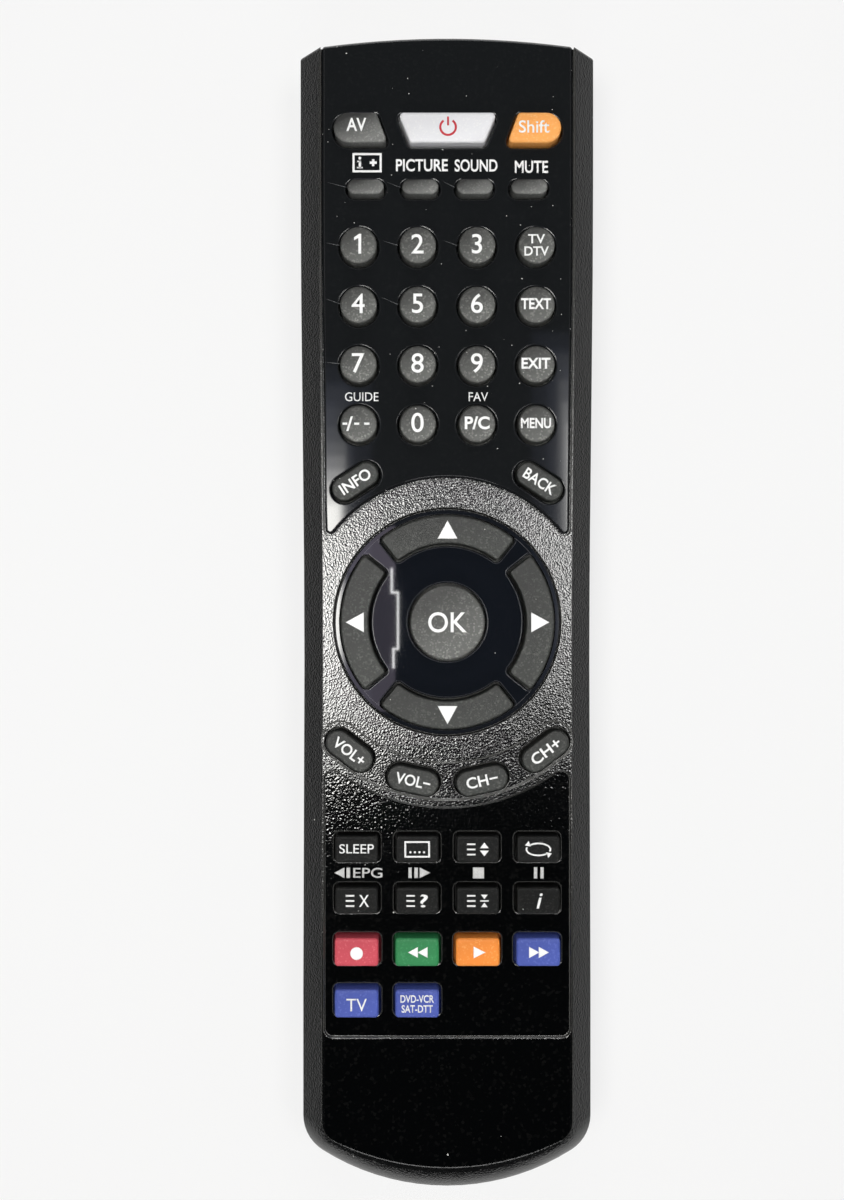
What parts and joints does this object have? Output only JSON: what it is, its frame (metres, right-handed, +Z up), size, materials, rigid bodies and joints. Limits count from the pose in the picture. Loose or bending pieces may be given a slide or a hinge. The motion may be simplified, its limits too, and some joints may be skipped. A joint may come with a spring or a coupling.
{
  "type": "remote control",
  "caption": "Slim black handheld television remote with rubber keys, a round navigation pad, a glossy upper panel and a sliding battery cover.",
  "frame": {"origin": "middle of the underside, on the surface that the remote lies on", "axes": "+Y along the remote towards its infrared end, +X to the right seen from above, +Z up through the keys"},
  "size_m": [0.0526, 0.205, 0.0223],
  "materials": {
    "case_black": "fine-textured moulded black ABS",
    "gloss_black": "polished black plastic",
    "window_red": "dark red infrared-passing plastic",
    "key_grey": "coated dark grey silicone rubber",
    "key_white": "coated white silicone rubber",
    "key_amber": "coated amber silicone rubber",
    "key_red": "coated red silicone rubber",
    "key_green": "coated green silicone rubber",
    "key_orange": "coated orange silicone rubber",
    "key_blue": "coated blue silicone rubber",
    "mat_rubber": "matte silicone sheet",
    "board_green": "solder-masked circuit board",
    "component_black": "moulded epoxy",
    "led_clear": "clear epoxy lens",
    "cell_jacket": "plain printed cell jacket, no marks",
    "contact_steel": "nickel-plated spring steel"
  },
  "bodies": {
    "case_body": {"front_case": "case_black", "rear_case": "case_black", "upper_face_panel": "gloss_black", "nav_bezel": "gloss_black", "keypad_mat": "mat_rubber", "circuit_board": "board_green", "board_components": "component_black", "ir_window": "window_red", "ir_led": "led_clear", "aaa_cells": "cell_jacket", "battery_contacts": "contact_steel"},
    "battery_cover_body": {"battery_cover": "case_black"},
    "key_power_body": {"key_power": "key_white"},
    "key_ok_body": {"key_ok": "key_grey"},
    "key_up_body": {"key_up": "key_grey"},
    "key_1_body": {"key_1": "key_grey"},
    "key_volume_up_body": {"key_volume_up": "key_grey"},
    "key_blue_body": {"key_blue": "key_blue"},
    "key_av_body": {"key_av": "key_grey"},
    "key_input_info_body": {"key_input_info": "key_grey"},
    "key_picture_body": {"key_picture": "key_grey"},
    "key_sound_body": {"key_sound": "key_grey"},
    "key_mute_body": {"key_mute": "key_grey"},
    "key_2_body": {"key_2": "key_grey"},
    "key_3_body": {"key_3": "key_grey"},
    "key_tv_body": {"key_tv": "key_grey"},
    "key_4_body": {"key_4": "key_grey"},
    "key_5_body": {"key_5": "key_grey"},
    "key_6_body": {"key_6": "key_grey"},
    "key_text_body": {"key_text": "key_grey"},
    "key_7_body": {"key_7": "key_grey"},
    "key_8_body": {"key_8": "key_grey"},
    "key_9_body": {"key_9": "key_grey"},
    "key_exit_body": {"key_exit": "key_grey"},
    "key_digits_body": {"key_digits": "key_grey"},
    "key_0_body": {"key_0": "key_grey"},
    "key_previous_body": {"key_previous": "key_grey"},
    "key_menu_body": {"key_menu": "key_grey"},
    "key_info_body": {"key_info": "key_grey"},
    "key_back_body": {"key_back": "key_grey"},
    "key_left_body": {"key_left": "key_grey"},
    "key_down_body": {"key_down": "key_grey"},
    "key_right_body": {"key_right": "key_grey"},
    "key_volume_down_body": {"key_volume_down": "key_grey"},
    "key_channel_down_body": {"key_channel_down": "key_grey"},
    "key_channel_up_body": {"key_channel_up": "key_grey"},
    "key_sleep_body": {"key_sleep": "key_grey"},
    "key_subtitle_body": {"key_subtitle": "key_grey"},
    "key_list_body": {"key_list": "key_grey"},
    "key_swap_body": {"key_swap": "key_grey"},
    "key_text_hold_body": {"key_text_hold": "key_grey"},
    "key_text_reveal_body": {"key_text_reveal": "key_grey"},
    "key_text_time_body": {"key_text_time": "key_grey"},
    "key_text_index_body": {"key_text_index": "key_grey"},
    "key_shift_body": {"key_shift": "key_amber"},
    "key_red_body": {"key_red": "key_red"},
    "key_green_body": {"key_green": "key_green"},
    "key_orange_body": {"key_orange": "key_orange"},
    "key_device_tv_body": {"key_device_tv": "key_blue"},
    "key_device_player_body": {"key_device_player": "key_blue"}
  },
  "joints": [
    {"name": "battery_cover_slide", "type": "slide", "parent": "case_body", "child": "battery_cover_body", "axis": [0, -1, 0], "range_m": [0, 0.08]},
    {"name": "key_power_press", "type": "slide", "parent": "case_body", "child": "key_power_body", "axis": [0, 0, -1], "range_m": [0, 0.001], "stiffness_N_per_m": 1200},
    {"name": "key_ok_press", "type": "slide", "parent": "case_body", "child": "key_ok_body", "axis": [0, 0, -1], "range_m": [0, 0.001], "stiffness_N_per_m": 1200},
    {"name": "key_up_press", "type": "slide", "parent": "case_body", "child": "key_up_body", "axis": [0, 0, -1], "range_m": [0, 0.001], "stiffness_N_per_m": 1200},
    {"name": "key_1_press", "type": "slide", "parent": "case_body", "child": "key_1_body", "axis": [0, 0, -1], "range_m": [0, 0.001], "stiffness_N_per_m": 1200},
    {"name": "key_volume_up_press", "type": "slide", "parent": "case_body", "child": "key_volume_up_body", "axis": [0, 0, -1], "range_m": [0, 0.001], "stiffness_N_per_m": 1200},
    {"name": "key_blue_press", "type": "slide", "parent": "case_body", "child": "key_blue_body", "axis": [0, 0, -1], "range_m": [0, 0.001], "stiffness_N_per_m": 1200},
    {"name": "key_av_press", "type": "slide", "parent": "case_body", "child": "key_av_body", "axis": [0, 0, -1], "range_m": [0, 0.001], "stiffness_N_per_m": 1200},
    {"name": "key_input_info_press", "type": "slide", "parent": "case_body", "child": "key_input_info_body", "axis": [0, 0, -1], "range_m": [0, 0.001], "stiffness_N_per_m": 1200},
    {"name": "key_picture_press", "type": "slide", "parent": "case_body", "child": "key_picture_body", "axis": [0, 0, -1], "range_m": [0, 0.001], "stiffness_N_per_m": 1200},
    {"name": "key_sound_press", "type": "slide", "parent": "case_body", "child": "key_sound_body", "axis": [0, 0, -1], "range_m": [0, 0.001], "stiffness_N_per_m": 1200},
    {"name": "key_mute_press", "type": "slide", "parent": "case_body", "child": "key_mute_body", "axis": [0, 0, -1], "range_m": [0, 0.001], "stiffness_N_per_m": 1200},
    {"name": "key_2_press", "type": "slide", "parent": "case_body", "child": "key_2_body", "axis": [0, 0, -1], "range_m": [0, 0.001], "stiffness_N_per_m": 1200},
    {"name": "key_3_press", "type": "slide", "parent": "case_body", "child": "key_3_body", "axis": [0, 0, -1], "range_m": [0, 0.001], "stiffness_N_per_m": 1200},
    {"name": "key_tv_press", "type": "slide", "parent": "case_body", "child": "key_tv_body", "axis": [0, 0, -1], "range_m": [0, 0.001], "stiffness_N_per_m": 1200},
    {"name": "key_4_press", "type": "slide", "parent": "case_body", "child": "key_4_body", "axis": [0, 0, -1], "range_m": [0, 0.001], "stiffness_N_per_m": 1200},
    {"name": "key_5_press", "type": "slide", "parent": "case_body", "child": "key_5_body", "axis": [0, 0, -1], "range_m": [0, 0.001], "stiffness_N_per_m": 1200},
    {"name": "key_6_press", "type": "slide", "parent": "case_body", "child": "key_6_body", "axis": [0, 0, -1], "range_m": [0, 0.001], "stiffness_N_per_m": 1200},
    {"name": "key_text_press", "type": "slide", "parent": "case_body", "child": "key_text_body", "axis": [0, 0, -1], "range_m": [0, 0.001], "stiffness_N_per_m": 1200},
    {"name": "key_7_press", "type": "slide", "parent": "case_body", "child": "key_7_body", "axis": [0, 0, -1], "range_m": [0, 0.001], "stiffness_N_per_m": 1200},
    {"name": "key_8_press", "type": "slide", "parent": "case_body", "child": "key_8_body", "axis": [0, 0, -1], "range_m": [0, 0.001], "stiffness_N_per_m": 1200},
    {"name": "key_9_press", "type": "slide", "parent": "case_body", "child": "key_9_body", "axis": [0, 0, -1], "range_m": [0, 0.001], "stiffness_N_per_m": 1200},
    {"name": "key_exit_press", "type": "slide", "parent": "case_body", "child": "key_exit_body", "axis": [0, 0, -1], "range_m": [0, 0.001], "stiffness_N_per_m": 1200},
    {"name": "key_digits_press", "type": "slide", "parent": "case_body", "child": "key_digits_body", "axis": [0, 0, -1], "range_m": [0, 0.001], "stiffness_N_per_m": 1200},
    {"name": "key_0_press", "type": "slide", "parent": "case_body", "child": "key_0_body", "axis": [0, 0, -1], "range_m": [0, 0.001], "stiffness_N_per_m": 1200},
    {"name": "key_previous_press", "type": "slide", "parent": "case_body", "child": "key_previous_body", "axis": [0, 0, -1], "range_m": [0, 0.001], "stiffness_N_per_m": 1200},
    {"name": "key_menu_press", "type": "slide", "parent": "case_body", "child": "key_menu_body", "axis": [0, 0, -1], "range_m": [0, 0.001], "stiffness_N_per_m": 1200},
    {"name": "key_info_press", "type": "slide", "parent": "case_body", "child": "key_info_body", "axis": [0, 0, -1], "range_m": [0, 0.001], "stiffness_N_per_m": 1200},
    {"name": "key_back_press", "type": "slide", "parent": "case_body", "child": "key_back_body", "axis": [0, 0, -1], "range_m": [0, 0.001], "stiffness_N_per_m": 1200},
    {"name": "key_left_press", "type": "slide", "parent": "case_body", "child": "key_left_body", "axis": [0, 0, -1], "range_m": [0, 0.001], "stiffness_N_per_m": 1200},
    {"name": "key_down_press", "type": "slide", "parent": "case_body", "child": "key_down_body", "axis": [0, 0, -1], "range_m": [0, 0.001], "stiffness_N_per_m": 1200},
    {"name": "key_right_press", "type": "slide", "parent": "case_body", "child": "key_right_body", "axis": [0, 0, -1], "range_m": [0, 0.001], "stiffness_N_per_m": 1200},
    {"name": "key_volume_down_press", "type": "slide", "parent": "case_body", "child": "key_volume_down_body", "axis": [0, 0, -1], "range_m": [0, 0.001], "stiffness_N_per_m": 1200},
    {"name": "key_channel_down_press", "type": "slide", "parent": "case_body", "child": "key_channel_down_body", "axis": [0, 0, -1], "range_m": [0, 0.001], "stiffness_N_per_m": 1200},
    {"name": "key_channel_up_press", "type": "slide", "parent": "case_body", "child": "key_channel_up_body", "axis": [0, 0, -1], "range_m": [0, 0.001], "stiffness_N_per_m": 1200},
    {"name": "key_sleep_press", "type": "slide", "parent": "case_body", "child": "key_sleep_body", "axis": [0, 0, -1], "range_m": [0, 0.001], "stiffness_N_per_m": 1200},
    {"name": "key_subtitle_press", "type": "slide", "parent": "case_body", "child": "key_subtitle_body", "axis": [0, 0, -1], "range_m": [0, 0.001], "stiffness_N_per_m": 1200},
    {"name": "key_list_press", "type": "slide", "parent": "case_body", "child": "key_list_body", "axis": [0, 0, -1], "range_m": [0, 0.001], "stiffness_N_per_m": 1200},
    {"name": "key_swap_press", "type": "slide", "parent": "case_body", "child": "key_swap_body", "axis": [0, 0, -1], "range_m": [0, 0.001], "stiffness_N_per_m": 1200},
    {"name": "key_text_hold_press", "type": "slide", "parent": "case_body", "child": "key_text_hold_body", "axis": [0, 0, -1], "range_m": [0, 0.001], "stiffness_N_per_m": 1200},
    {"name": "key_text_reveal_press", "type": "slide", "parent": "case_body", "child": "key_text_reveal_body", "axis": [0, 0, -1], "range_m": [0, 0.001], "stiffness_N_per_m": 1200},
    {"name": "key_text_time_press", "type": "slide", "parent": "case_body", "child": "key_text_time_body", "axis": [0, 0, -1], "range_m": [0, 0.001], "stiffness_N_per_m": 1200},
    {"name": "key_text_index_press", "type": "slide", "parent": "case_body", "child": "key_text_index_body", "axis": [0, 0, -1], "range_m": [0, 0.001], "stiffness_N_per_m": 1200},
    {"name": "key_shift_press", "type": "slide", "parent": "case_body", "child": "key_shift_body", "axis": [0, 0, -1], "range_m": [0, 0.001], "stiffness_N_per_m": 1200},
    {"name": "key_red_press", "type": "slide", "parent": "case_body", "child": "key_red_body", "axis": [0, 0, -1], "range_m": [0, 0.001], "stiffness_N_per_m": 1200},
    {"name": "key_green_press", "type": "slide", "parent": "case_body", "child": "key_green_body", "axis": [0, 0, -1], "range_m": [0, 0.001], "stiffness_N_per_m": 1200},
    {"name": "key_orange_press", "type": "slide", "parent": "case_body", "child": "key_orange_body", "axis": [0, 0, -1], "range_m": [0, 0.001], "stiffness_N_per_m": 1200},
    {"name": "key_device_tv_press", "type": "slide", "parent": "case_body", "child": "key_device_tv_body", "axis": [0, 0, -1], "range_m": [0, 0.001], "stiffness_N_per_m": 1200},
    {"name": "key_device_player_press", "type": "slide", "parent": "case_body", "child": "key_device_player_body", "axis": [0, 0, -1], "range_m": [0, 0.001], "stiffness_N_per_m": 1200}
  ]
}
